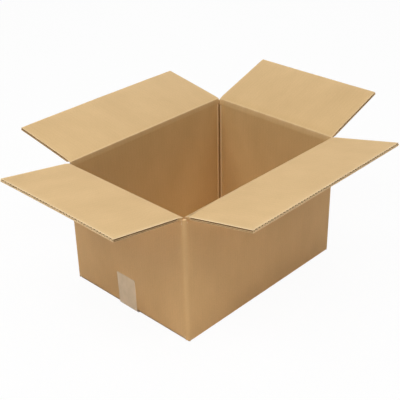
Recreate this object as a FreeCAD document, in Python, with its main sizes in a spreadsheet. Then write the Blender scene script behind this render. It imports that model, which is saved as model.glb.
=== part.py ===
import FreeCAD, Part
import os
import Sketcher

# Open double-wall corrugated carton, millimetres, +Z up.
# The origin is the centre of the base. X runs along the long sides, Y along the ends.
# The front is -Y and the left end is -X. The top flaps stand open, as in the photo.

SIZES = {
    # walls and board
    "inside_length": 420.0,
    "inside_width": 305.0,
    "board": 6.0,
    "base_level": 0.0,
    "liner": 0.45,
    "fold_height": 262.0,
    "slot": 6.3,
    "corner_radius": 9.0,
    "post_foot": 5.0,
    "post_drop": 11.5,
    "crease_run": 7.0,
    "crease_depth": 1.5,
    # crushed score lines that the top flaps turn on
    "score_run": 11.0,
    "knuckle": 1.5,
    "end_score_depth": 1.0,
    "long_score_depth": 4.1,
    "neck_outer": 0.31,
    "neck_outer_drop": 1.77,
    "neck_inner": 1.03,
    "neck_inner_drop": 1.47,
    # flaps
    "flap_length": 153.5,
    "layer_gap": 0.2,
    "fold_radius": 5.5,
    "seam_gap": 5.0,
    "front_rise": 13.0,
    "back_rise": 10.1,
    "left_rise": 9.7,
    "right_rise": 18.9,
    # the two rows of flutes in the board
    "coarse_pitch": 7.8,
    "coarse_height": 2.95,
    "fine_pitch": 6.4,
    "fine_height": 1.95,
    "paper": 0.35,
    # glued corner tab
    "tab_width": 38.0,
    "tab_thickness": 3.2,
    "tab_inset": 14.0,
    "tab_slant": 9.0,
    # clear tape along the bottom seam and up both ends
    "tape_width": 50.0,
    "tape_film": 0.15,
    "tape_play": 0.05,
    "tape_rise": 75.0,
    "tape_bend": 6.3,
    "tape_offset": 4.0,
}


class Size:
    """A length with the sheet expression that it comes from."""

    def __init__(self, text, value):
        self.text = text
        self.value = value

    def __add__(self, other):
        return Size("(%s + %s)" % (self.text, words(other)), self.value + number(other))

    def __sub__(self, other):
        return Size("(%s - %s)" % (self.text, words(other)), self.value - number(other))

    def __mul__(self, other):
        return Size("(%s * %s)" % (self.text, words(other)), self.value * number(other))

    def __truediv__(self, other):
        return Size("(%s / %s)" % (self.text, words(other)), self.value / number(other))

    def __neg__(self):
        return Size("(0 - %s)" % self.text, -self.value)


def words(item):
    return item.text if isinstance(item, Size) else repr(float(item))


def number(item):
    return item.value if isinstance(item, Size) else float(item)


def size(name):
    return Size("Sizes." + name, SIZES[name])


doc = FreeCAD.newDocument("OpenCarton")
sheet = doc.addObject("Spreadsheet::Sheet", "Sizes")
for row, (name, value) in enumerate(SIZES.items(), start=1):
    sheet.set("A%d" % row, name)
    sheet.set("B%d" % row, str(value))
    sheet.setAlias("B%d" % row, name)
doc.recompute()

BOARD = size("board")
SLOT = size("slot")
RUN = size("score_run")
HALF_LENGTH = size("inside_length") / 2 + BOARD
HALF_WIDTH = size("inside_width") / 2 + BOARD
LONG_FLAP_WIDTH = (HALF_LENGTH - SLOT) * 2
END_FLAP_WIDTH = (HALF_WIDTH - SLOT) * 2

# The end flaps fold in first and the long flaps close over them. The long flaps turn higher
# and deeper in the board, so all four stand level when open and lie flat when closed.
END_DEPTH = size("end_score_depth")
LONG_DEPTH = size("long_score_depth")
END_AXIS = size("fold_height")
LONG_AXIS = END_AXIS + (BOARD + size("layer_gap") + 0.1) - (LONG_DEPTH - END_DEPTH)


def new_body(label):
    body = doc.addObject("PartDesign::Body", label)
    body.Label = label
    return body


def origin_plane(body, role):
    return next(item for item in body.Origin.OriginFeatures if item.Role == role)


def new_sketch(body, name, role, offset=None):
    """A sketch on one of the body's own planes, moved along the plane's normal by offset."""
    sketch = body.newObject("Sketcher::SketchObject", name)
    sketch.AttachmentSupport = (origin_plane(body, role), [""])
    sketch.MapMode = "FlatFace"
    if offset is not None:
        sketch.AttachmentOffset = FreeCAD.Placement(
            FreeCAD.Vector(0, 0, number(offset)), FreeCAD.Rotation())
        sketch.setExpression("AttachmentOffset.Base.z", words(offset))
    return sketch


def pin(sketch, geometry, vertex, x, y):
    """Fix one vertex at (x, y) from the sketch origin."""
    for kind, item in (("DistanceX", x), ("DistanceY", y)):
        index = sketch.addConstraint(
            Sketcher.Constraint(kind, -1, 1, geometry, vertex, number(item)))
        if isinstance(item, Size):
            sketch.setExpression("Constraints[%d]" % index, item.text)


def arc_between(start, end, centre, radius):
    """The shorter arc from start to end; also tells whether it runs clockwise."""
    middle = (start + end) * 0.5 - centre
    middle.normalize()
    arc = Part.Arc(start, centre + middle * radius, end)
    turn = (start - centre).cross(middle).z
    return arc, turn < 0


def outline(sketch, path):
    """A closed outline. A corner may be followed by ("arc", centre x, centre y, radius)."""
    corners = [item for item in path if item[0] != "arc"]
    bends = {}
    count = -1
    for item in path:
        if item[0] == "arc":
            bends[count] = item[1:]
        else:
            count += 1
    points = [FreeCAD.Vector(number(x), number(y), 0) for x, y in corners]
    ends = []
    for index, start in enumerate(points):
        end = points[(index + 1) % len(points)]
        if index in bends:
            cx, cy, radius = bends[index]
            centre = FreeCAD.Vector(number(cx), number(cy), 0)
            arc, clockwise = arc_between(start, end, centre, number(radius))
            edge = sketch.addGeometry(arc, False)
            ends.append((edge, 2, 1) if clockwise else (edge, 1, 2))
            bend = sketch.addConstraint(Sketcher.Constraint("Radius", edge, number(radius)))
            if isinstance(radius, Size):
                sketch.setExpression("Constraints[%d]" % bend, radius.text)
        else:
            edge = sketch.addGeometry(Part.LineSegment(start, end), False)
            ends.append((edge, 1, 2))
    for index, (x, y) in enumerate(corners):
        edge, first, _ = ends[index]
        before, _, last = ends[index - 1]
        sketch.addConstraint(Sketcher.Constraint("Coincident", before, last, edge, first))
        pin(sketch, edge, first, x, y)


def pad(body, name, sketch, length, middle=False, back=False):
    feature = body.newObject("PartDesign::Pad", name)
    feature.Profile = sketch
    feature.Length = number(length)
    feature.setExpression("Length", words(length))
    feature.Midplane = middle
    feature.Reversed = back
    doc.recompute()
    return feature


def pocket(body, name, sketch, length, back=False):
    """A pocket, which must take material away."""
    before = body.Shape.Volume
    feature = body.newObject("PartDesign::Pocket", name)
    feature.Profile = sketch
    feature.Length = number(length)
    feature.setExpression("Length", words(length))
    feature.Reversed = back
    doc.recompute()
    if body.Shape.Volume >= before:
        raise RuntimeError(name + " cuts nothing")
    return feature


def mirrored(points, side):
    """Points given for the positive side, turned to the side asked for."""
    flipped = []
    for item in points:
        if item[0] == "arc":
            flipped.append(("arc", item[1] * side, item[2], item[3]))
        else:
            flipped.append((item[0] * side, item[1]))
    return flipped


def side_section(half, foot, inner_end, depth, axis):
    """Section of a wall with its bottom flap below and its crushed score above."""
    bend = size("fold_radius")
    hinge = half - depth
    return [
        (inner_end, foot),
        (half - bend, foot),
        ("arc", half - bend, foot + bend, bend),
        (half, foot + bend),
        (half, axis - RUN),
        (hinge - size("neck_outer"), axis - size("neck_outer_drop")),
        (hinge - size("neck_inner"), axis - size("neck_inner_drop")),
        (half - BOARD, axis - RUN),
        (half - BOARD, foot + BOARD),
        (inner_end, foot + BOARD),
    ]


def make_carton_body():
    body = new_body("carton_body")

    long_section = new_sketch(body, "long_section", "YZ_Plane")
    end_section = new_sketch(body, "end_section", "XZ_Plane")
    bottom_end = HALF_LENGTH - END_DEPTH - size("flap_length")
    end_foot = BOARD + size("layer_gap")
    for side in (1, -1):
        outline(long_section, mirrored(side_section(
            HALF_WIDTH, size("base_level"), size("seam_gap") / 2, LONG_DEPTH, LONG_AXIS), side))
        outline(end_section, mirrored(side_section(
            HALF_LENGTH, end_foot, bottom_end, END_DEPTH, END_AXIS), side))
    pad(body, "long_sides", long_section, LONG_FLAP_WIDTH, middle=True)
    pad(body, "end_sides", end_section, END_FLAP_WIDTH, middle=True)

    posts = new_sketch(body, "post_plan", "XY_Plane", size("post_foot"))
    creases = new_sketch(body, "crease_plan", "XY_Plane", size("post_foot"))
    radius = size("corner_radius")
    run = size("crease_run")
    valley = size("crease_depth")
    inner_x = HALF_LENGTH - BOARD
    inner_y = HALF_WIDTH - BOARD
    for side_x in (1, -1):
        for side_y in (1, -1):
            def corner(x, y):
                return (x * side_x, y * side_y)
            outline(posts, [
                corner(HALF_LENGTH - radius, HALF_WIDTH),
                ("arc", (HALF_LENGTH - radius) * side_x, (HALF_WIDTH - radius) * side_y, radius),
                corner(HALF_LENGTH, HALF_WIDTH - radius),
                corner(inner_x, HALF_WIDTH - radius),
                corner(inner_x, inner_y),
                corner(HALF_LENGTH - radius, inner_y),
            ])
            outline(creases, [
                corner(inner_x, inner_y - run),
                corner(inner_x + valley, inner_y + valley),
                corner(inner_x - run, inner_y),
                corner(inner_x - run, inner_y - run),
            ])
    height = END_AXIS - size("post_drop") - size("post_foot")
    pad(body, "corner_posts", posts, height)
    pocket(body, "corner_creases", creases, height, back=True)

    # The long front wall carries the glued tab, which lies inside the left end wall.
    tab = new_sketch(body, "tab_side", "YZ_Plane", -inner_x)
    low = BOARD * 2 + size("tab_inset")
    high = END_AXIS - RUN - size("tab_inset")
    outline(tab, [
        (-inner_y, low),
        (-inner_y + size("tab_width"), low + size("tab_slant")),
        (-inner_y + size("tab_width"), high - size("tab_slant")),
        (-inner_y, high),
    ])
    pad(body, "glue_tab", tab, size("tab_thickness"))

    # The tape lies in a shallow bed, so that it does not lift the base.
    bed = new_sketch(body, "tape_bed_plan", "XY_Plane")
    near = size("tape_offset") - size("tape_width") / 2 - size("tape_play")
    far = size("tape_offset") + size("tape_width") / 2 + size("tape_play")
    outline(bed, [(-HALF_LENGTH, near), (HALF_LENGTH, near), (HALF_LENGTH, far), (-HALF_LENGTH, far)])
    pocket(body, "tape_bed", bed, size("tape_film") + size("tape_play"), back=True)
    return body


def row_of_flutes(body, name, role, offset, back, pitch, low, height, width):
    """One row of flute channels, cut from the free edge back to the score."""
    sketch = new_sketch(body, name + "_section", role, offset)
    gap = size("paper")
    high = low + height
    first = -width / 2
    outline(sketch, [
        (first + gap, low), (first + pitch - gap, low), (first + pitch / 2, high - gap)])
    outline(sketch, [
        (first + pitch / 2 + gap, high),
        (first + pitch, low + gap),
        (first + pitch * 1.5 - gap, high)])
    cut = pocket(body, name, sketch, size("flap_length") - RUN, back=back)
    count = int(width.value / pitch.value)
    rows = body.newObject("PartDesign::LinearPattern", name + "_row")
    rows.Originals = [cut]
    rows.Direction = (sketch, ["H_Axis"])
    rows.Length = pitch.value * (count - 1)
    rows.Occurrences = count
    times = "floor(%s / %s)" % (width.text, pitch.text)
    rows.setExpression("Length", "%s * (%s - 1)" % (pitch.text, times))
    rows.setExpression("Occurrences", times)
    body.Tip = rows
    doc.recompute()
    return rows


def make_flap(label, long_side, side, width, depth, half, axis, rise):
    """A top flap drawn about its hinge axis, then set on the wall at its open angle."""
    body = new_body(label)
    length = size("flap_length")
    # The crushed root is 1.2 times the knuckle's radius thick, so it meets the circle at
    # 0.8 of the radius out and 0.6 of the radius up or down.
    knuckle = size("knuckle")
    section = new_sketch(body, label + "_section", "YZ_Plane" if long_side else "XZ_Plane")
    outline(section, mirrored([
        (knuckle * 0.8, -knuckle * 0.6),
        (RUN, -depth),
        (length, -depth),
        (length, BOARD - depth),
        (RUN, BOARD - depth),
        (knuckle * 0.8, knuckle * 0.6),
        ("arc", 0, 0, knuckle),
        (-knuckle, 0),
        ("arc", 0, 0, knuckle),
    ], side))
    pad(body, label + "_board", section, width, middle=True)

    role = "XZ_Plane" if long_side else "YZ_Plane"
    normal = -side if long_side else side
    liner = size("liner")
    outer = liner - depth
    inner = BOARD - depth - liner - size("coarse_height")
    for name, pitch, low, height in (
            ("fine", size("fine_pitch"), outer, size("fine_height")),
            ("coarse", size("coarse_pitch"), inner, size("coarse_height"))):
        row_of_flutes(body, label + "_" + name, role, length * normal, normal < 0,
                      pitch, low, height, width)

    turn = FreeCAD.Vector(side, 0, 0) if long_side else FreeCAD.Vector(0, -side, 0)
    reach = (half - depth) * side
    place = (0, reach.value) if long_side else (reach.value, 0)
    body.Placement = FreeCAD.Placement(
        FreeCAD.Vector(place[0], place[1], axis.value), FreeCAD.Rotation(turn, rise.value))
    body.setExpression("Placement.Base.y" if long_side else "Placement.Base.x", reach.text)
    body.setExpression("Placement.Base.z", axis.text)
    body.setExpression("Placement.Rotation.Angle", rise.text)
    return body


def make_tape():
    """Clear film: along the seam, round the lower edge and up both ends."""
    body = new_body("seam_tape")
    section = new_sketch(body, "tape_section", "XZ_Plane")
    film = size("tape_film")
    inner = HALF_LENGTH + size("tape_play")
    bend = size("tape_bend")
    turn_x = inner - bend
    turn_z = film + bend
    top = size("tape_rise")
    outline(section, [
        (-inner, top),
        (-inner, turn_z),
        ("arc", -turn_x, turn_z, bend),
        (-turn_x, film),
        (turn_x, film),
        ("arc", turn_x, turn_z, bend),
        (inner, turn_z),
        (inner, top),
        (inner + film, top),
        (inner + film, turn_z),
        ("arc", turn_x, turn_z, bend + film),
        (turn_x, 0),
        (-turn_x, 0),
        ("arc", -turn_x, turn_z, bend + film),
        (-inner - film, turn_z),
        (-inner - film, top),
    ])
    pad(body, "tape_strip", section, size("tape_width"), middle=True)
    body.Placement.Base = FreeCAD.Vector(0, SIZES["tape_offset"], 0)
    body.setExpression("Placement.Base.y", "Sizes.tape_offset")
    return body


pieces = [make_carton_body(), make_tape()]
for label, side in (("front_flap", -1), ("back_flap", 1)):
    pieces.append(make_flap(label, True, side, LONG_FLAP_WIDTH, LONG_DEPTH, HALF_WIDTH,
                            LONG_AXIS, size(label.replace("flap", "rise"))))
for label, side in (("left_flap", -1), ("right_flap", 1)):
    pieces.append(make_flap(label, False, side, END_FLAP_WIDTH, END_DEPTH, HALF_LENGTH,
                            END_AXIS, size(label.replace("flap", "rise"))))
doc.recompute()

for item in doc.Objects:
    if "Invalid" in item.State or "Error" in item.State:
        raise RuntimeError("%s failed: %s" % (item.Name, item.State))
for piece in pieces:
    if piece.Shape.isNull() or not piece.Shape.isValid() or len(piece.Shape.Solids) != 1:
        raise RuntimeError(piece.Label + " is not one valid solid")

os.makedirs("parts", exist_ok=True)
for piece in pieces:
    piece.Shape.exportStep("parts/%s.step" % piece.Label)
    box = piece.Shape.BoundBox
    print("%-12s volume %.0f  x %.1f..%.1f  y %.1f..%.1f  z %.1f..%.1f" % (
        piece.Label, piece.Shape.Volume, box.XMin, box.XMax, box.YMin, box.YMax, box.ZMin, box.ZMax))
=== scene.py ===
import math
import bpy
import numpy as np
from mathutils import Matrix, Vector


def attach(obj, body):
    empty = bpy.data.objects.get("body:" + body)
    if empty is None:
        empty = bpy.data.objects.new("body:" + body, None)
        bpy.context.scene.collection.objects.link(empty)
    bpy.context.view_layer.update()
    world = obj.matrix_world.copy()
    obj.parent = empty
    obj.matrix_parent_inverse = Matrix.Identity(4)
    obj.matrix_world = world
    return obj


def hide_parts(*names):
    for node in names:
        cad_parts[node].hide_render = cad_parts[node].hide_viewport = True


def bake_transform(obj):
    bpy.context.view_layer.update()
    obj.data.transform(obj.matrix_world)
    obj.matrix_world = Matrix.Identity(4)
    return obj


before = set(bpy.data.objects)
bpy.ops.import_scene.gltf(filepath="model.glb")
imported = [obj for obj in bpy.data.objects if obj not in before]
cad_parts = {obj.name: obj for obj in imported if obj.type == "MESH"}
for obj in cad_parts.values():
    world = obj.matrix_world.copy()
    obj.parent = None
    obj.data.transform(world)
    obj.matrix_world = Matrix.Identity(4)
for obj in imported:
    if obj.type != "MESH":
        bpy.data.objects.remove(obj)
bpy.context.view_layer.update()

# Sizes of the carton in millimetres, the same as in the part's source where it has them.
HALF_LENGTH, HALF_WIDTH = 216.0, 158.5
BOARD, LINER = 6.0, 0.45
FINE_HEIGHT, FINE_PITCH, COARSE_PITCH = 1.9, 6.4, 7.8
FINE_TOP = LINER + FINE_HEIGHT
# thickness of a fluted sheet, and how far a liner's cut edge spreads
MEDIUM, BURR = 0.42, 0.14
# from a fold's axis to the free edge of its flap, and to the ends of its crushed band on wall and flap
FLAP, RUN = 153.5, 11.0
# radius of the upright corners, and from a wall's end to the edge of its slot
CORNER, SLOT = 9.0, 6.3
# depth below the outer face, and height, of the axes of the end folds and the long folds
END_DEPTH, LONG_DEPTH = 1.0, 4.1
END_AXIS, LONG_AXIS = 262.0, 265.2
# outer radius of a bottom fold, and the straight piece of wall above it that belongs to its strip
FOLD, FOLD_LEAD = 5.5, 3.0
# heights of a corner post: its top, its foot at the long wall and at the end wall, and the foot's arch
POST_TOP = 261.5
LONG_FOOT, END_FOOT, FOOT_ARCH = 1.5, 5.0, 1.8
# heights between which the four walls are one ring, and how far a wall bows out in its middle
WALL_LOW, WALL_TOP, BOW = 14.7, 251.0, 0.5
TAB_WIDTH, TAB_THICKNESS, TAB_INSET, TAB_SLANT = 38.0, 3.2, 14.0, 9.0
# the tape's film: thickness, width, clearance from the board, bend at the bottom edge and height on the ends
FILM, TAPE_WIDTH, TAPE_PLAY, TAPE_BEND, TAPE_RISE = 0.15, 50.0, 0.05, 6.3, 75.0
# how far the tape lies to one side of the seam, and where its texture starts
TAPE_ASIDE, TAPE_PLACE = 4.0, 3000.0
# from a top fold's crest to both ends of its turn, how far the outer liner is pressed in past the fold's axis,
# and how much narrower a flap is than the room between its slots, on each side
TURN_REACH, FOLD_DENT, FLAP_PLAY = 1.3, 0.9, 0.15
# the wedge of painted shade at one end of the front fold
WEDGE_WIDTH, WEDGE_LENGTH = 10.0, 105.0
# points of an inner fold below its turn and in its turn, and the index of the crest in the middle of the turn
LOWER_POINTS, TURN_POINTS = 6, 7
CREST = LOWER_POINTS - 1 + TURN_POINTS // 2
# a bottom fold's crushed inner liner, as steps outward and upward from its inner corner
BOTTOM_CRUSH = ((0.0, 3.0), (0.3, 1.6), (0.8, 0.4), (0.7, -0.2), (0.2, -0.6), (-0.6, -0.5), (-1.2, -0.2),
                (-1.8, -0.05), (-2.4, 0.0), (-3.0, 0.0))

# out and along are the directions across and along a side, half is its distance from the middle and reach
# half its length. depth and axis place the fold, crest is how far the inner liner stands off that axis, the
# wedge's shade is how strong the painted shade is at one end of the fold, frayed is wear, and rise is the
# flap's angle in degrees. foot is the height of the bottom flap, and end is how far its free edge stays from
# the middle.
SIDES = {
    "front": dict(out=(0, -1), along=(1, 0), half=HALF_WIDTH, reach=HALF_LENGTH, depth=LONG_DEPTH,
                  axis=LONG_AXIS, crest=0.9, wedge_shade=0.7, frayed=1.7, rise=13.0, foot=0.0, end=2.5),
    "right": dict(out=(1, 0), along=(0, 1), half=HALF_LENGTH, reach=HALF_WIDTH, depth=END_DEPTH,
                  axis=END_AXIS, crest=4.0, wedge_shade=0.0, frayed=0.8, rise=18.9, foot=6.2, end=61.5),
    "back": dict(out=(0, 1), along=(-1, 0), half=HALF_WIDTH, reach=HALF_LENGTH, depth=LONG_DEPTH,
                 axis=LONG_AXIS, crest=1.2, wedge_shade=0.0, frayed=0.8, rise=10.1, foot=0.0, end=2.5),
    "left": dict(out=(-1, 0), along=(0, -1), half=HALF_LENGTH, reach=HALF_WIDTH, depth=END_DEPTH,
                 axis=END_AXIS, crest=4.0, wedge_shade=0.0, frayed=1.5, rise=9.7, foot=6.2, end=61.5),
}
# shift is the place of a side's middle along the sheet
girth = 0.0
for side in SIDES.values():
    side["shift"] = girth + side["reach"]
    girth += 2 * side["reach"]
GIRTH = girth

# material numbers of a mesh, and numbers of a board's faces for the texture
SKIN, EDGE, CORE = 0, 1, 2
OUTER, INNER, CUT, FLUTED = 0, 1, 3, 4
# seeds of the first top flap and the first bottom flap
TOP_SEED, BOTTOM_SEED = 100, 300


class Mesh:
    """Collects grids of points with sheet coordinates, wear and painted light, and a material number."""

    def __init__(self):
        self.points, self.faces, self.kinds, self.sheet, self.wear_and_painted_light = [], [], [], [], []

    def grid(self, points, sheet, kind=SKIN, wear_and_painted_light=0.0, flip=False):
        """points and sheet are (rows, columns, 3); faces look along rows x columns."""
        rows, cols = points.shape[:2]
        base = len(self.points)
        self.points.extend(points.reshape(-1, 3).tolist())
        self.sheet.extend(np.broadcast_to(sheet, points.shape).reshape(-1, 3).tolist())
        self.wear_and_painted_light.extend(np.broadcast_to(wear_and_painted_light, (rows, cols)).reshape(-1).tolist())
        for i in range(rows - 1):
            for j in range(cols - 1):
                a = base + i * cols + j
                quad = (a, a + 1, a + cols + 1, a + cols)
                self.faces.append(quad[::-1] if flip else quad)
                self.kinds.append(kind)

    def ribbon(self, first, second, sheet, kind=EDGE, flip=False):
        """A strip between two lines of points."""
        self.grid(np.stack([first, second]), np.stack([sheet, sheet]), kind, flip=flip)

    def build(self, name, materials):
        """The collected grids as one object, in metres."""
        mesh = bpy.data.meshes.new(name)
        mesh.from_pydata((np.array(self.points) / 1000.0).tolist(), [], self.faces)
        for material in materials:
            mesh.materials.append(material)
        mesh.polygons.foreach_set("material_index", self.kinds)
        mesh.polygons.foreach_set("use_smooth", [True] * len(self.faces))
        sheet = mesh.attributes.new("sheet", "FLOAT_VECTOR", "POINT")
        sheet.data.foreach_set("vector", (np.array(self.sheet) / 1000.0).reshape(-1))
        wear_and_painted_light = mesh.attributes.new("wear_and_painted_light", "FLOAT", "POINT")
        wear_and_painted_light.data.foreach_set("value", self.wear_and_painted_light)
        mesh.validate()
        obj = bpy.data.objects.new(name, mesh)
        bpy.context.scene.collection.objects.link(obj)
        return obj


def place(side, u, p, z):
    """Millimetre point from the along, outward and upward coordinates of one side."""
    u, p, z = np.broadcast_arrays(u, p, z)
    ox, oy = side["out"]
    ax, ay = side["along"]
    return np.stack([u * ax + p * ox, u * ay + p * oy, z], axis=-1)


def sheet_place(u, height, face):
    """Place along and up the unfolded sheet, with the number of the face, for the paper's texture."""
    u, height = np.broadcast_arrays(np.asarray(u, float), np.asarray(height, float))
    return np.stack([u, height, np.full_like(u, face * 1000.0)], axis=-1)


def bezier(a, b, ta, tb, pull, count):
    """Points of a cubic from a to b with the tangents ta and tb."""
    a, b, ta, tb = (np.array(x, float) for x in (a, b, ta, tb))
    reach = np.linalg.norm(b - a) * pull
    s = np.linspace(0, 1, count)[:, None]
    c0, c1 = a + ta * reach, b - tb * reach
    return (1 - s)**3 * a + 3 * (1 - s)**2 * s * c0 + 3 * (1 - s) * s**2 * c1 + s**3 * b


def wobble(u, seed, scales=(140.0, 60.0, 23.0), weights=(1.0, 0.5, 0.25)):
    """Smooth repeatable variation along u, about -1 to 1."""
    rng = np.random.default_rng(seed)
    total = np.zeros_like(np.asarray(u, float))
    for scale, weight in zip(scales, weights):
        total = total + weight * np.sin(2 * np.pi * np.asarray(u) / scale + rng.uniform(0, 6.28))
    return total / sum(weights)


def unwrapped(places):
    """Places along the sheet without the jump at the last corner."""
    places = np.array(places, float)
    if places[-1] < places[0]:
        places[places < places[0]] += GIRTH
    return places


class Panel:
    """A flat board panel: point(u, v, t), with v out from the fold and t from 0 outer to 1 inner face."""

    def __init__(self, side, origin, direction, normal, depth, first, last, half, seed, warp=0.0):
        self.side, self.depth, self.first, self.last, self.half = side, depth, first, last, half
        self.origin, self.direction, self.normal = (np.array(x, float) for x in (origin, direction, normal))
        self.seed, self.warp = seed, warp

    def bend(self, u, v):
        """Slight curl of the panel along its normal."""
        r = np.clip((v - self.first) / (self.last - self.first), 0, 1)
        a, b, c = np.random.default_rng(self.seed + 50).uniform(-1, 1, 3)
        x = u / self.half
        return self.warp * r * r * (0.6 * a + 0.7 * b * x + 0.8 * c * (x * x - 0.33))

    def point(self, u, v, t):
        """Millimetre point of the panel, where the cut edges are squeezed a little thinner."""
        u, v, t = np.broadcast_arrays(np.asarray(u, float), np.asarray(v, float), np.asarray(t, float))
        near_edge = np.exp(-np.clip(self.last - v, 0, None) / 2.2)
        near_side = np.exp(-np.clip(self.half - np.abs(u), 0, None) / 2.0)
        crush = 0.035 * near_edge * (1 + 0.8 * wobble(u, self.seed + 3)) + 0.03 * near_side
        t = 0.5 + (t - 0.5) * (1 - 2 * crush)
        height = -self.depth + BOARD * t + self.bend(u, v)
        p = self.origin[0] + self.direction[0] * v + self.normal[0] * height
        z = self.origin[1] + self.direction[1] * v + self.normal[1] * height
        return place(self.side, u, p, z)

    def sheet(self, u, v, face):
        return sheet_place(u + self.side["shift"], v + END_AXIS, face)


def medium_wave(pitch, low, high, half, phase, steps):
    """Centre line and normals of one fluted sheet across the board, as arrays of u and height."""
    waves = round(2 * half / pitch)
    u = np.linspace(-half, half, waves * steps + 1)
    middle, swing = (low + high) / 2, (high - low - MEDIUM) / 2
    pitch = 2 * half / waves
    angle = 2 * np.pi * (u + half) / pitch + phase
    # a rounded trapezoid
    wave = np.sin(angle) + 0.12 * np.sin(3 * angle)
    slope = (np.cos(angle) + 0.36 * np.cos(3 * angle)) * 2 * np.pi / pitch * swing
    length = np.sqrt(1 + slope**2)
    return u, middle + swing * wave / 0.92, -slope / length, 1 / length


def crest_share(heights, low, high):
    """1 at the top of a fluted sheet's waves, where the cut tears it most, 0 below the middle."""
    return np.clip((heights - (low + high) / 2) / (high - low) * 2.6, 0, 1)


def layers(mesh, panel, v, steps_fine=9, steps_coarse=10):
    """The inside of a board: liners' inner faces, the middle liner, both fluted sheets and the cuts."""
    half, free = panel.half, v[-1]
    rng = np.random.default_rng(panel.seed)
    rim = half - np.array([0.0, 0.6, 1.6, 4.0])
    u = np.concatenate([-rim, np.linspace(-half + 9, half - 9, 21), rim[::-1]])
    vv, uu = np.meshgrid(v, u, indexing="ij")

    def dark(us, vs):
        """Painted shade inside the flutes, darker with depth from the nearest cut edge."""
        depth = np.minimum(free - vs, half - np.abs(us))
        return -1.8 * (1 - np.exp(-np.clip(depth - 0.1, 0, None) / 0.9))

    def cut(us, vs, low, high, face, kind=EDGE, flip=False):
        """A cut face between two shares of the board's thickness, 0 at its outer face and 1 at its inner."""
        first, second = panel.point(us, vs, low), panel.point(us, vs, high)
        mesh.ribbon(first, second, panel.sheet(us, vs, face), kind, flip)

    for level, flip in ((LINER, False), (FINE_TOP, True), (FINE_TOP + LINER, False), (BOARD - LINER, True)):
        points = panel.point(uu, vv, level / BOARD)
        mesh.grid(points, panel.sheet(uu, vv, CUT), CORE, dark(uu, vv), flip=flip)
    # cut faces of the three liners, at the free edge and at both sides
    for low, high in ((0, LINER), (FINE_TOP, FINE_TOP + LINER), (BOARD - LINER, BOARD)):
        low, high = max(0.0, low - BURR) / BOARD, min(BOARD, high + BURR) / BOARD
        cut(u, free, low, high, CUT, flip=True)
        cut(-half, v, low, high, CUT)
        cut(half, v, low, high, CUT, flip=True)
    # the fine flutes end against their last wall, just inside both side cuts
    for x, flip in ((-half + 0.7, False), (half - 0.7, True)):
        cut(x, v, LINER / BOARD, FINE_TOP / BOARD, CUT, CORE, flip)
    # the cut tears the fluted sheets wider, by an even amount and by more at their crests
    for pitch, low, high, steps, phase, even, more in (
            (FINE_PITCH, LINER, FINE_TOP, steps_fine, rng.uniform(0.6, 1.4), 0.65, 0.5),
            (COARSE_PITCH, FINE_TOP + LINER, BOARD - LINER, steps_coarse, rng.uniform(-1.9, -1.2),
             0.15, 1.1)):
        wave_u, wave_t, nu, nt = medium_wave(pitch, low, high, half, phase, steps)
        torn = MEDIUM / 2 + even + more * crest_share(wave_t, low, high)
        rims = []
        for sign in (-1, 1):
            rim_u = np.clip(wave_u + nu * sign * torn, -half, half)
            rim_t = np.clip((wave_t + nt * sign * torn) / BOARD, 0.02, 0.98)
            rims.append((rim_u, panel.point(rim_u, free, rim_t)))
            wall_u = np.clip(wave_u + nu * sign * MEDIUM / 2, -half, half)
            wall_v, wall_uu = np.meshgrid(v, wall_u, indexing="ij")
            points = panel.point(wall_uu, wall_v, (wave_t + nt * sign * MEDIUM / 2) / BOARD)
            sheet = panel.sheet(wall_uu, wall_v, FLUTED)
            mesh.grid(points, sheet, CORE, dark(wall_uu, wall_v), flip=sign < 0)
        mesh.ribbon(rims[0][1], rims[1][1], panel.sheet(rims[0][0], free, FLUTED), flip=True)
    # one face closes the flutes where the crushed fold starts
    cut(u, v[0], 0.02, 0.98, FLUTED)


def fold_painted_light(panel, s, u):
    """Painted light on the inner face near a fold, s across it from its crest: painted highlights on the wall
    band below the crest and on the crest, and painted shade in the wedge.
    """
    band = np.where(s < -0.5, 0.36 * np.clip((s + 12.5) / 11.0, 0, 1), 0.0)
    crest = 0.5 * np.exp(-(s / 1.8)**2)
    wide = WEDGE_WIDTH * np.clip(1 - (u + panel.half) / WEDGE_LENGTH, 0, 1)
    wedge = panel.side["wedge_shade"] * np.clip((wide - np.abs(s)) / 1.5, 0, 1)
    return band + crest - wedge


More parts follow.
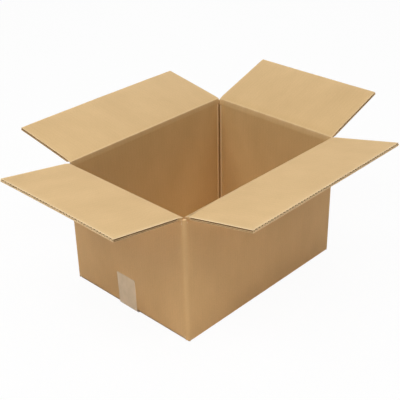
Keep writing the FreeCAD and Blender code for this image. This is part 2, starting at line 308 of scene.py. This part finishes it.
def strip(mesh, panel, fold_in, fold_out, v, columns, fold_wear_and_shade=0.35):
    """Both faces of the board from the wall through a fold and out over the panel.

    The outer face is paler along the fold by a scuff above 0, for wear, and darker by one below 0, for painted
    shade.
    """
    side, half = panel.side, panel.half
    rim_u = half - np.array([0.0, 0.7, 1.6])
    u = np.concatenate([-rim_u, np.linspace(-half + 3, half - 3, columns - 6), rim_u[::-1]])
    vv, uu = np.meshgrid(v, u, indexing="ij")
    runs = {}
    for fold, t, face, flip in ((fold_in, 1.0, INNER, False), (fold_out, 0.0, OUTER, True)):
        run = np.concatenate([[0], np.cumsum(np.linalg.norm(np.diff(fold, axis=0), axis=1))])
        runs[face] = run = run - run[-1] + v[0]
        fold_points = np.stack([place(side, u, p, z) for p, z in fold[:-1]])
        points = np.concatenate([fold_points, panel.point(uu, vv, t)])
        ss, us = np.meshgrid(np.concatenate([run[:-1], v]), u, indexing="ij")
        # the inner face gets painted highlights along its fold and wall band and painted shade in the wedge;
        # the outer face gets the scuff
        wear_and_painted_light = np.exp(-(ss / 2.0)**2) * (0.1 if face == INNER else fold_wear_and_shade)
        if face == INNER:
            wear_and_painted_light = wear_and_painted_light + fold_painted_light(panel, ss - run[CREST], us)
        wear_and_painted_light = wear_and_painted_light * (0.75 + 0.25 * wobble(us, panel.seed + 9, (37.0, 17.0, 7.0)))
        rim = np.minimum(v[-1] - ss, half - np.abs(us))
        wear_and_painted_light = wear_and_painted_light + side["frayed"] * np.exp(-np.clip(rim, 0, None) / 1.4)
        mesh.grid(points, panel.sheet(us, ss, face), SKIN, wear_and_painted_light, flip=flip)
    for x, flip in ((-half, False), (half, True)):
        first, second = (
            np.concatenate([np.stack([place(side, x, p, z) for p, z in fold[:-1]]),
                            panel.point(x, v[:1], t)])
            for fold, t in ((fold_out, 0.0), (fold_in, 1.0)))
        mesh.ribbon(first, second, panel.sheet(x, runs[INNER], CUT), CORE, flip=flip)


def crisp_fold(start, crest, end, up, out):
    """The inner liner's line over a fold: a crushed band on the wall, a tight crest, a band on the flap."""
    rising = (crest - start) / np.linalg.norm(crest - start)
    leaving = (end - crest) / np.linalg.norm(end - crest)
    before, after = crest - rising * TURN_REACH, crest + leaving * TURN_REACH
    lower = bezier(start, before, up, rising, 0.35, LOWER_POINTS)
    turn = bezier(before, after, rising, leaving, 0.55, TURN_POINTS)
    upper = bezier(after, end, leaving, leaving * 0.65 + out * 0.35, 0.12, 6)
    return np.concatenate([lower[:-1], turn[:-1], upper])


def top_flap(name, side, materials, seed):
    """A top flap with its crushed fold, from the score in the wall to the free edge."""
    mesh = Mesh()
    rise = math.radians(side["rise"])
    d = np.array([math.cos(rise), math.sin(rise)])
    n = np.array([-math.sin(rise), math.cos(rise)])
    up = np.array([0.0, 1.0])
    depth = side["depth"]
    axis = np.array([side["half"] - depth, side["axis"]])
    wall_in = np.array([side["half"] - BOARD, side["axis"] - RUN])
    wall_out = np.array([side["half"], side["axis"] - RUN])
    end_in = axis + d * RUN + n * (BOARD - depth)
    end_out = axis + d * RUN - n * depth
    # across halves the angle between wall and flap, and along is square to it
    across = np.array([-1.0, 0.0]) + n
    across = across / np.linalg.norm(across)
    along = np.array([across[1], -across[0]])
    low = axis - across * FOLD_DENT
    fold_in = crisp_fold(wall_in, axis + across * side["crest"], end_in, up, d)
    fold_out = np.concatenate([bezier(wall_out, low, up, along, 0.36, 9)[:-1],
                               bezier(low, end_out, along, d, 0.36, 9)])
    half = side["reach"] - SLOT - FLAP_PLAY
    panel = Panel(side, axis, d, n, depth, RUN, FLAP, half, seed, warp=1.2)
    v = np.concatenate([np.linspace(RUN, FLAP - 4, 14), [FLAP - 2.5, FLAP - 1.2, FLAP]])
    strip(mesh, panel, fold_in, fold_out, v, 73)
    inside = np.concatenate([np.linspace(RUN, FLAP - 7, 5), [FLAP - 3.0, FLAP - 1.2, FLAP - 0.4, FLAP]])
    layers(mesh, panel, inside)
    obj = mesh.build(name + "_flap_board", materials)
    # the points between which the bend lies, so that both faces are past it at its ends; nothing here uses
    # them
    before = axis + along * max((wall_in - axis) @ along, (wall_out - axis) @ along)
    after = axis + along * min((end_in - axis) @ along, (end_out - axis) @ along)
    start_point = (place(side, 0.0, *before) / 1000).tolist()
    end_point = (place(side, 0.0, *after) / 1000).tolist()
    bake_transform(obj)
    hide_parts(name + "_flap")
    return obj


def bottom_flap(mesh, side, seed):
    """A bottom flap, from low on the wall round its fold and in along the floor."""
    foot = side["foot"]
    start = [foot + FOLD + FOLD_LEAD]
    origin = np.array([side["half"] - BOARD, foot])
    last = origin[0] - side["end"]
    panel = Panel(side, origin, (-1.0, 0.0), (0.0, 1.0), 0.0, FOLD_LEAD, last, side["reach"] - SLOT, seed)
    centre = np.array([side["half"] - FOLD, foot + FOLD])
    arc = [centre + FOLD * np.array([math.cos(a), -math.sin(a)]) for a in np.linspace(0, math.pi / 2, 8)]
    fold_out = np.array([[side["half"]] + start] + arc + [origin - [lead, 0] for lead in (1.5, FOLD_LEAD)])
    inner = origin + np.array([0, BOARD])
    fold_in = np.array([[inner[0]] + start] + [inner + step for step in BOTTOM_CRUSH])
    v = np.concatenate([np.linspace(FOLD_LEAD, last - 4, 6), [last - 2, last]])
    # painted shade along the outside of the bottom fold, down by the floor
    strip(mesh, panel, fold_in, fold_out, v, 41, fold_wear_and_shade=-0.35)
    layers(mesh, panel, np.array([FOLD_LEAD, last - 12, last - 3, last - 1, last]), 8, 8)


def crease_lift(gap):
    """How far the inner face stands out near an upright corner: a groove, a bead and a shallow dip."""
    groove = -0.5 * max(0.0, 1 - gap / 3.0)
    bead = 1.2 * math.exp(-((gap - 5.0) / 1.4)**2)
    dip = -0.7 * math.exp(-((gap - 8.4) / 1.1)**2)
    return groove + bead + dip


def crease_shade_and_highlight(gap):
    """Painted shade in the groove of an upright corner, and a painted highlight on its bead."""
    return 1.5 * math.exp(-((gap - 4.9) / 1.5)**2) - 0.45 * math.exp(-(max(gap, 0) / 2.7)**2)


def swell(side, u):
    """How far a wall bows out at mid height, u along it."""
    x = min(1.0, abs(u) / side["reach"])
    return BOW * (1 - x * x) * (1 + 0.3 * float(wobble(u + side["shift"], 21, (500.0, 220.0, 90.0))))


def swell_rise(z):
    """Share of the bow at a height."""
    return math.sin(math.pi * min(max((z - WALL_LOW) / (WALL_TOP - WALL_LOW), 0.0), 1.0))**2


def ring_plan():
    """Plan of the walls by columns: outer and inner points, place along the sheet, wear and painted highlight
    of the outer face, painted shade and highlight of the inner face, and bow.

    Also gives the columns of each wall between its slots, and of each corner post from slot to slot.
    """
    outer, inner, where, wear_and_painted_light, shade, bow = [], [], [], [], [], []
    walls, posts = {}, []
    turn = math.asin((CORNER - SLOT) / CORNER)
    for name, side in SIDES.items():
        reach, half = side["reach"], side["half"]
        edge = reach - SLOT
        beads = [reach - BOARD - gap for gap in (1.0, 1.7, 2.5, 3.4, 4.4, 5.5, 6.7, 8.0, 9.5, 12.0)]
        flat = np.linspace(-(reach - 24), reach - 24, 31)
        columns = sorted(list(flat) + beads + [-b for b in beads] + [edge, -edge])
        first = len(outer)
        for u in columns:
            lean = max(0.0, (abs(u) - (reach - CORNER)) / CORNER)
            drop = CORNER * (1 - math.sqrt(1 - lean * lean))
            gap = reach - BOARD - abs(u)
            outer.append(place(side, u, half - drop, 0.0))
            inner.append(place(side, u, half - BOARD - crease_lift(max(gap, 0.0)), 0.0))
            where.append(side["shift"] + u)
            # the outer face is paler towards the upright corner: partly wear, partly a painted highlight
            wear_and_painted_light.append(0.06 * lean)
            shade.append(crease_shade_and_highlight(gap))
            bow.append(swell(side, u))
        walls[name] = list(range(first, len(outer)))
        corner = reach - CORNER
        for a in np.linspace(turn, math.pi / 2 - turn, 11)[1:-1]:
            k = 1 - abs(a - math.pi / 4) / (math.pi / 4)
            out = half - CORNER + CORNER * math.cos(a)
            outer.append(place(side, corner + CORNER * math.sin(a), out, 0.0))
            sunk = 0.5 + 0.5 * k
            inner.append(place(side, reach - BOARD + sunk, half - BOARD + sunk, 0.0))
            where.append(side["shift"] + corner + CORNER * a)
            # paler round the corner: partly wear, partly a painted highlight
            wear_and_painted_light.append(0.03 + 0.07 * math.sin(2 * a)**2)
            shade.append(crease_shade_and_highlight(-1.0))
            bow.append(0.0)
        posts.append((name, list(range(walls[name][-1], len(outer)))))
    count = len(outer)
    posts = [(name, columns + [(columns[-1] + 1) % count]) for name, columns in posts]
    plan = [np.array(values) for values in (outer, inner, where, wear_and_painted_light, shade, bow)]
    return plan, walls, posts


def glued_tab(mesh):
    """The pressed tab of the front wall, glued inside the left wall beside the front corner."""
    side = SIDES["left"]
    root = side["reach"] - BOARD
    low, high = 2 * BOARD + TAB_INSET, END_AXIS - RUN - TAB_INSET
    u = np.linspace(root - TAB_WIDTH, root, 9)
    slant = TAB_SLANT * (root - u) / TAB_WIDTH
    share = np.linspace(0, 1, 15)[:, None]
    z = (low + slant) * (1 - share) + (high - slant) * share
    uu = np.broadcast_to(u, z.shape)
    bow = np.array([[swell(side, a) * swell_rise(b) for a, b in zip(*row)] for row in zip(uu, z)])
    wall = side["half"] - BOARD + bow
    under, over = place(side, uu, wall, z), place(side, uu, wall - TAB_THICKNESS, z)
    sheet = sheet_place(uu + side["shift"], z, INNER)
    rim = np.minimum(np.minimum(z - z[:1], z[-1:] - z), uu - u[0])
    mesh.grid(over, sheet, SKIN, 0.6 * np.exp(-rim / 1.5), flip=True)
    mesh.ribbon(under[:, 0], over[:, 0], sheet[:, 0])
    mesh.ribbon(under[0], over[0], sheet[0], flip=True)
    mesh.ribbon(under[-1], over[-1], sheet[-1])


def carton(materials):
    """Walls, corners, bottom flaps and the glued tab: the part of the sheet that stays still."""
    mesh = Mesh()
    (outer, inner, where, wear_and_painted_light, shade, bow), walls, posts = ring_plan()
    out_dir = np.zeros_like(outer)
    for name, columns in walls.items():
        out_dir[columns, 0], out_dir[columns, 1] = SIDES[name]["out"]

    def sheets(columns, levels):
        """Both faces of the board over some columns; levels gives each row's heights."""
        for points, wear_and_light_marks, face, flip in ((outer, wear_and_painted_light, OUTER, False), (inner, shade, INNER, True)):
            grid, sheet = [], []
            for z in levels:
                z = np.broadcast_to(np.asarray(z, float), (len(columns),))
                rise = np.array([swell_rise(h) for h in z])
                row = points[columns] + out_dir[columns] * (bow[columns] * rise)[:, None]
                row[:, 2] = z
                grid.append(row)
                sheet.append(sheet_place(unwrapped(where[columns]), z, face))
            mesh.grid(np.array(grid), np.array(sheet), SKIN, wear_and_light_marks[columns], flip=flip)

    def cut(columns, z, kind, flip):
        """The cut face of the board along some columns, or up one column, at the heights z."""
        z = np.asarray(z, float)
        first, second, places = (
            np.broadcast_to(values[columns], (len(z),) + values.shape[1:]).copy()
            for values in (outer, inner, where))
        first[:, 2] = z
        second[:, 2] = z
        mesh.ribbon(first, second, sheet_place(places, z, CUT), kind, flip)

    everything = list(range(len(outer))) + [0]
    sheets(everything, np.linspace(WALL_LOW, WALL_TOP, 21))
    for name in ("front", "back"):
        sheets(walls[name], [WALL_TOP, SIDES[name]["axis"] - RUN])
        sheets(walls[name], [SIDES[name]["foot"] + FOLD + FOLD_LEAD, WALL_LOW])
    for name, columns in posts:
        top = np.full(len(columns), POST_TOP)
        share = np.linspace(0, 1, len(columns))
        low = LONG_FOOT + (END_FOOT - LONG_FOOT) * (share if name in ("front", "back") else 1 - share)
        low = low + FOOT_ARCH * np.sin(np.pi * share)
        sheets(columns, [WALL_TOP, (WALL_TOP + POST_TOP) / 2, top])
        sheets(columns, [low, WALL_LOW])
        cut(columns, top, EDGE, False)
        cut(columns, low, EDGE, True)
        for index, flip in ((0, True), (-1, False)):
            cut(columns[index], [WALL_TOP, POST_TOP], CORE, flip)
            cut(columns[index], [low[index], WALL_LOW], CORE, flip)
    for index, side in enumerate(SIDES.values()):
        bottom_flap(mesh, side, BOTTOM_SEED + index)
    glued_tab(mesh)
    obj = mesh.build("carton_board", materials)
    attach(obj, "carton")
    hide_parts("carton_body")
    return obj


def tape_path():
    """Side view of the film with its outward normals: down one end, along the seam and up the other end."""
    outside = HALF_LENGTH + TAPE_PLAY
    straight = outside - TAPE_BEND
    path = [(-outside, z, -1.0, 0.0) for z in np.linspace(TAPE_RISE, FILM + TAPE_BEND, 12)]
    for a in np.linspace(0, math.pi / 2, 9)[1:]:
        path.append((-straight - TAPE_BEND * math.cos(a), FILM + TAPE_BEND - TAPE_BEND * math.sin(a),
                     -math.cos(a), -math.sin(a)))
    seam = [(x, FILM, 0.0, -1.0) for x in np.linspace(-straight, straight, 12)[1:-1]]
    mirror = [(-x, z, -nx, nz) for x, z, nx, nz in reversed(path)]
    return np.array(path + seam + mirror)


def tape(material):
    """Clear film along the seam and up both ends, with saw-cut ends."""
    mesh = Mesh()
    path = tape_path()
    run = np.concatenate([[0], np.cumsum(np.linalg.norm(np.diff(path[:, :2], axis=0), axis=1))])
    w = np.linspace(-TAPE_WIDTH / 2, TAPE_WIDTH / 2, 41)
    teeth = np.where(np.arange(len(w)) % 2 == 0, 0.9, -0.3)
    for offset, flip in ((0.0, False), (FILM, True)):
        grid = []
        for index, (x, z, nx, nz) in enumerate(path):
            # on the ends the film leans a little
            name, slant = ("left", 1.2) if x < 0 else ("right", 0.6)
            across = w + TAPE_ASIDE + (slant * (z - 30) / 40 if abs(x) > 200 else 0.0)
            side = SIDES[name]
            bulge = np.array([swell(side, -y if x < 0 else y) * swell_rise(z) for y in across])
            row = np.stack([x + nx * (offset + bulge), across, np.full_like(w, z + nz * offset)], axis=-1)
            if index in (0, len(path) - 1):
                row[:, 2] += teeth
            grid.append(row)
        mesh.grid(np.array(grid), sheet_place(w[None, :] + TAPE_PLACE, run[:, None], OUTER), flip=flip)
    obj = mesh.build("seam_tape_film", [material])
    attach(obj, "carton")
    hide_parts("seam_tape")
    return obj


# materials

def srgb(r, g, b):
    """A linear colour from the levels 0 to 255 of a screen colour."""
    def linear(c):
        c = c / 255.0
        return c / 12.92 if c <= 0.04045 else ((c + 0.055) / 1.055)**2.4
    return (linear(r), linear(g), linear(b), 1.0)


# the pale colour of wear and painted highlights, the colour of dark fibres, and the film's colour
WORN_AND_HIGHLIGHT, SPECK, FILM_COLOUR = srgb(248, 224, 182), srgb(96, 62, 30), srgb(255, 228, 186)
# factors on the paper's colour: on the outer face, for painted shade in creases, folds and flutes, and for
# deeper painted shade in the flutes
OUTER_TINT = (1.12, 1.01, 0.92, 1.0)
SHADE_TINT = (0.36, 0.24, 0.10, 1.0)
DEEP_SHADE_TINT = (0.30, 0.25, 0.22, 1.0)


class Tree:
    """A node tree, emptied and then built; an input is a value or the socket that feeds it."""

    def __init__(self, tree):
        self.tree = tree
        tree.nodes.clear()

    def add(self, kind, inputs=None, **settings):
        node = self.tree.nodes.new(kind)
        for key, value in settings.items():
            setattr(node, key, value)
        for key, value in (inputs or {}).items():
            if isinstance(value, bpy.types.NodeSocket):
                self.tree.links.new(value, node.inputs[key])
            else:
                node.inputs[key].default_value = value
        return node

    def math(self, operation, a, b=None, clamp=False):
        inputs = {0: a} if b is None else {0: a, 1: b}
        return self.add("ShaderNodeMath", inputs, operation=operation, use_clamp=clamp).outputs[0]

    def total(self, *terms):
        """The sum of sockets, each times its weight."""
        parts = [self.math("MULTIPLY", value, weight) for value, weight in terms]
        result = parts[0]
        for part in parts[1:]:
            result = self.math("ADD", result, part)
        return result

    def mix(self, factor, a, b, blend="MIX"):
        inputs = {0: factor, 6: a, 7: b}
        return self.add("ShaderNodeMix", inputs, data_type="RGBA", blend_type=blend).outputs[2]

    def tinted(self, share, colour, tint):
        """The colour times the tint, by a share from 0 to 1."""
        return self.mix(share, colour, self.mix(1.0, colour, tint, "MULTIPLY"))

    def attribute(self, name, output):
        node = self.add("ShaderNodeAttribute", attribute_name=name, attribute_type="GEOMETRY")
        return node.outputs[output]

    def noise(self, vector, scale, detail, stretch=(1.0, 1.0, 1.0), rough=0.5):
        """Noise over a vector; a stretch above 1 makes it finer that way."""
        mapped = self.add("ShaderNodeVectorMath", {0: vector, 1: stretch}, operation="MULTIPLY").outputs[0]
        inputs = {"Vector": mapped, "Scale": scale, "Detail": detail, "Roughness": rough}
        return self.add("ShaderNodeTexNoise", inputs).outputs["Fac"]

    def seen_directly(self):
        """1 for camera, glossy and transmission rays, 0 for the rays that light the object."""
        rays = self.add("ShaderNodeLightPath")
        camera, glossy, through = (
            rays.outputs[name] for name in ("Is Camera Ray", "Is Glossy Ray", "Is Transmission Ray"))
        return self.math("MAXIMUM", camera, self.math("MAXIMUM", glossy, through))


def new_material(name):
    """A node material and its empty tree."""
    material = bpy.data.materials.new(name)
    material.use_nodes = True
    return material, Tree(material.node_tree)


def flute_stripes(t, sheet, is_inner):
    """Faint stripes along the flutes, which show through each face at the pitch of its own fluted sheet."""
    u = t.add("ShaderNodeSeparateXYZ", {"Vector": sheet}).outputs["X"]
    drift = t.math("MULTIPLY", t.noise(sheet, 14.0, 2.0, (1.0, 0.4, 1.0), 0.55), 9.0)
    inner, outer = (
        t.math("SINE", t.math("ADD", t.math("MULTIPLY", u, 2 * math.pi / (pitch / 1000)), drift))
        for pitch in (COARSE_PITCH, FINE_PITCH))
    return t.add("ShaderNodeMix", {0: is_inner, 2: outer, 3: inner}, data_type="FLOAT").outputs[0]


def kraft(name, light, dark, edge=False):
    """Brown paper with clouds, fibres and grain, paler where the mesh's attribute of wear and painted light is
    above 0, for wear and painted highlights, and darker where it is below, for painted shade.

    The faces of the board also have stripes over the flutes; with edge, cut paper has none and shines less.
    """
    material, t = new_material(name)
    sheet, wear_and_painted_light = t.attribute("sheet", "Vector"), t.attribute("wear_and_painted_light", "Fac")
    cloud = t.noise(sheet, 17.0, 4.0, (1.0, 0.5, 1.0), 0.55)
    fibre = t.noise(sheet, 260.0, 4.0, (1.0, 3.2, 1.0), 0.7)
    grain = t.noise(sheet, 1100.0, 2.0, (1.0, 1.6, 1.0), 0.6)
    tone = t.math("SUBTRACT", t.total((cloud, 0.6), (fibre, 0.9), (grain, 0.4)), 0.45, clamp=True)
    height = t.total((fibre, 0.00004), (grain, 0.00002))
    if edge:
        colour = t.mix(tone, dark, light)
    else:
        face = t.add("ShaderNodeSeparateXYZ", {"Vector": sheet}).outputs["Z"]
        is_inner = t.math("LESS_THAN", t.math("ABSOLUTE", t.math("SUBTRACT", face, INNER)), 0.5)
        stripe = flute_stripes(t, sheet, is_inner)
        tone = t.math("ADD", tone, t.math("MULTIPLY", stripe, 0.022), clamp=True)
        height = t.math("ADD", height, t.math("MULTIPLY", stripe, 0.000022))
        colour = t.mix(tone, dark, light)
        colour = t.mix(is_inner, t.mix(1.0, colour, OUTER_TINT, "MULTIPLY"), colour)
    # wear and painted highlights turn the colour paler; painted shade multiplies it by the shade tints, deeper
    # in the flutes
    colour = t.mix(t.math("MULTIPLY", wear_and_painted_light, 0.55, clamp=True), colour, WORN_AND_HIGHLIGHT)
    sunk = t.math("MULTIPLY", wear_and_painted_light, -1.0)
    for start, tint in ((0.0, SHADE_TINT), (1.0, DEEP_SHADE_TINT)):
        colour = t.tinted(t.math("SUBTRACT", sunk, start, clamp=True), colour, tint)
    # sparse dark fibres
    speck = t.noise(sheet, 520.0, 3.0, (1.0, 4.0, 1.0), 0.8)
    colour = t.mix(t.math("MULTIPLY", t.math("GREATER_THAN", speck, 0.70), 0.12), colour, SPECK)
    bump = t.add("ShaderNodeBump", {"Height": height, "Strength": 0.7, "Distance": 1.0})
    rough = t.math("ADD", 0.52, t.math("MULTIPLY", fibre, 0.2))
    shader = t.add("ShaderNodeBsdfPrincipled", {
        "Base Color": colour, "Roughness": rough, "Normal": bump.outputs[0], "Sheen Roughness": 0.5,
        "Specular IOR Level": 0.05 if edge else 0.4, "Sheen Weight": 0.0 if edge else 0.06})
    t.add("ShaderNodeOutputMaterial", {0: shader.outputs[0]})
    return material


def film():
    """Hazy clear film, with clouds in its haze and a fine texture."""
    material, t = new_material("clear_film")
    sheet = t.attribute("sheet", "Vector")
    cloud = t.noise(sheet, 60.0, 4.0, (1.0, 0.5, 1.0))
    fine = t.noise(sheet, 420.0, 2.0)
    haze = t.math("ADD", 0.50, t.math("MULTIPLY", cloud, 0.3))
    height = t.math("MULTIPLY", fine, 0.00006)
    bump = t.add("ShaderNodeBump", {"Height": height, "Strength": 0.6, "Distance": 1.0})
    shader = t.add("ShaderNodeBsdfPrincipled", {
        "Base Color": FILM_COLOUR, "Roughness": 0.27, "Normal": bump.outputs[0], "Alpha": haze,
        "Specular IOR Level": 1.0})
    t.add("ShaderNodeOutputMaterial", {0: shader.outputs[0]})
    return material


# stage, light and camera, in metres

FLOOR_HALF, FLOOR_WHITE = 25.0, 0.95
# the lit floor starts this far inside the carton's outline
FLOOR_LAP = 10.0
MIDDLE = (0.0, 0.0, 0.1)
# name, place, aim, size and watts
LIGHTS = (("far_light", (-0.9, -0.9, 3.0), (-0.2, -0.2, 0.1), 1.0, 13.5),
          ("left_light", (-1.25, 0.25, 2.0), MIDDLE, 1.4, 27.0),
          ("right_light", (0.4, -1.3, 2.0), MIDDLE, 1.4, 15.0),
          ("back_light", (1.5, 1.5, 2.0), MIDDLE, 1.6, 20.0),
          ("corner_light", (-0.56, -0.62, 0.05), (-0.2, -0.16, 0.0), 0.16, 0.48))
# the camera as calibrated on the photo: angles in degrees, and where it stands back, to the right and up
AZIMUTH, ELEVATION, ROLL = -45.77, 29.38, -1.19
CAMERA_BACK, CAMERA_RIGHT, CAMERA_UP = 1.78544, -0.01263, 0.13295
# focal length and width of the photo in pixels, and the width of the sensor in millimetres
FOCAL, PICTURE, SENSOR = 847.07, 400, 36.0


def studio_floor():
    """A white floor, unlit under the carton, so that no white shows through its seams."""
    mesh = bpy.data.meshes.new("studio_floor")
    s = FLOOR_HALF
    mesh.from_pydata([(-s, -s, 0), (s, -s, 0), (s, s, 0), (-s, s, 0)], [], [(0, 1, 2, 3)])
    floor = bpy.data.objects.new("studio_floor", mesh)
    bpy.context.scene.collection.objects.link(floor)
    material, t = new_material("studio_floor")
    diffuse = t.add("ShaderNodeBsdfDiffuse", {"Color": (FLOOR_WHITE, FLOOR_WHITE, FLOOR_WHITE, 1)})
    glow = t.add("ShaderNodeEmission", {"Color": (1, 1, 1, 1), "Strength": 1.0})
    spot = t.add("ShaderNodeSeparateXYZ", {"Vector": t.add("ShaderNodeNewGeometry").outputs["Position"]})
    beside, beyond = (
        t.math("GREATER_THAN", t.math("ABSOLUTE", spot.outputs[axis]), (half - FLOOR_LAP) / 1000)
        for axis, half in (("X", HALF_LENGTH), ("Y", HALF_WIDTH)))
    away = t.math("MAXIMUM", beside, beyond)
    white = t.math("MULTIPLY", t.math("MULTIPLY", t.seen_directly(), away), FLOOR_WHITE)
    shader = t.add("ShaderNodeMixShader", {0: white, 1: diffuse.outputs[0], 2: glow.outputs[0]})
    t.add("ShaderNodeOutputMaterial", {0: shader.outputs[0]})
    mesh.materials.append(material)


def studio_world():
    """A white surround that is seen as white but adds little light."""
    world = bpy.data.worlds.new("studio")
    bpy.context.scene.world = world
    world.use_nodes = True
    t = Tree(world.node_tree)
    lit = t.add("ShaderNodeBackground", {"Color": (1, 1, 1, 1), "Strength": 0.05})
    white = t.add("ShaderNodeBackground", {"Color": (1, 1, 1, 1), "Strength": 1.0})
    mix = t.add("ShaderNodeMixShader", {0: t.seen_directly(), 1: lit.outputs[0], 2: white.outputs[0]})
    t.add("ShaderNodeOutputWorld", {0: mix.outputs[0]})


def area_light(name, location, aim, size, power):
    """A square lamp that looks from its place to its aim."""
    light = bpy.data.lights.new(name, "AREA")
    light.shape = "SQUARE"
    light.size = size
    light.energy = power
    obj = bpy.data.objects.new(name, light)
    obj.location = location
    obj.rotation_euler = (Vector(aim) - Vector(location)).to_track_quat("-Z", "Y").to_euler()
    bpy.context.scene.collection.objects.link(obj)


def photo_camera():
    """The camera that stands where the photo was taken."""
    scene = bpy.context.scene
    data = bpy.data.cameras.new("photo_camera")
    data.sensor_width = SENSOR
    data.lens = FOCAL / PICTURE * SENSOR
    camera = bpy.data.objects.new("photo_camera", data)
    scene.collection.objects.link(camera)
    scene.camera = camera
    azimuth, elevation, roll = (math.radians(angle) for angle in (AZIMUTH, ELEVATION, ROLL))
    back = np.array([math.sin(azimuth) * math.cos(elevation), -math.cos(azimuth) * math.cos(elevation),
                     math.sin(elevation)])
    level = np.array([math.cos(azimuth), math.sin(azimuth), 0.0])
    upright = np.cross(back, level)
    right = math.cos(roll) * level + math.sin(roll) * upright
    up = -math.sin(roll) * level + math.cos(roll) * upright
    eye = back * CAMERA_BACK + right * CAMERA_RIGHT + up * CAMERA_UP
    camera.matrix_world = Matrix([[right[i], up[i], back[i], eye[i]] for i in range(3)] + [[0, 0, 0, 1]])


BOARD_MATERIALS = [kraft("kraft_liner", srgb(226, 191, 136), srgb(188, 153, 100)),
                   kraft("kraft_cut_edge", srgb(255, 226, 178), srgb(246, 206, 154), edge=True),
                   kraft("kraft_core", srgb(216, 176, 124), srgb(190, 150, 100), edge=True)]
carton(BOARD_MATERIALS)
for index, (name, side) in enumerate(SIDES.items()):
    top_flap(name, side, BOARD_MATERIALS, TOP_SEED + index)
tape(film())
studio_floor()
studio_world()
for light in LIGHTS:
    area_light(*light)
photo_camera()
bpy.context.scene.view_settings.view_transform = "Standard"
